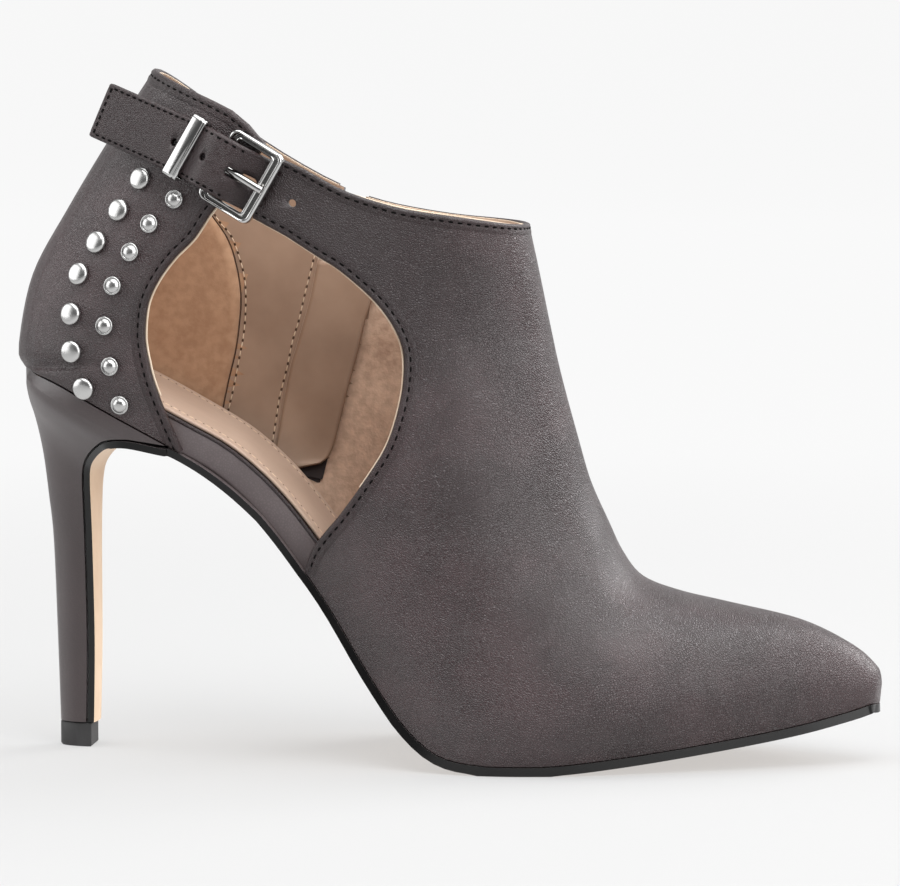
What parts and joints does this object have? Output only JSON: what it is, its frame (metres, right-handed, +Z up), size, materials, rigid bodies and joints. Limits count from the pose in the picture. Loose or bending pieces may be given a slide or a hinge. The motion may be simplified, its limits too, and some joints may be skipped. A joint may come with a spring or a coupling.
{
  "type": "stiletto ankle boot",
  "caption": "Right ankle boot with a pointed toe and tall slim heel, a large side cut-out, a studded counter, a buckled strap and an inner zip.",
  "frame": {"origin": "centre of the heel tip's bottom face, on the floor that the boot stands on", "axes": "+X from heel to toe, +Y to the inner (medial) side of the foot, +Z up; the outer (lateral) side with the cut-out faces -Y"},
  "size_m": [0.2286, 0.0789, 0.1802],
  "materials": {
    "leather": "smooth dark brown leather with a fine pebbled grain and a soft sheen",
    "strap_leather": "deep reddish brown strap leather, slightly glossier than the upper",
    "sole_leather": "beige sole with gloss black painted edges",
    "lining": "matt tan lining leather and suede",
    "tip_rubber": "matt dark grey",
    "chrome": "polished",
    "zip_metal": "dull metal teeth"
  },
  "bodies": {
    "boot": {"upper": "leather", "outsole": "sole_leather", "heel": "leather", "top_piece": "tip_rubber", "insole": "leather", "sock": "lining", "strap": "strap_leather", "buckle_frame": "chrome", "buckle_prong": "chrome", "keeper": "chrome", "zip_chain": "zip_metal", "zip_slider": "chrome", "stud_rear_1": "chrome", "stud_rear_2": "chrome", "stud_rear_3": "chrome", "stud_rear_4": "chrome", "stud_rear_5": "chrome", "stud_rear_6": "chrome", "stud_rear_7": "chrome", "stud_front_1": "chrome", "stud_front_2": "chrome", "stud_front_3": "chrome", "stud_front_4": "chrome", "stud_front_5": "chrome", "stud_front_6": "chrome", "stud_front_7": "chrome"},
    "pull_tab": {"zip_pull": "chrome"}
  },
  "joints": [
    {"name": "pull_tab_hinge", "type": "hinge", "parent": "boot", "child": "pull_tab", "pos_m": [0.06918, 0.03049, 0.1347], "axis": [0.9886, -0.0769, -0.1298], "range_deg": [0, 150]}
  ]
}
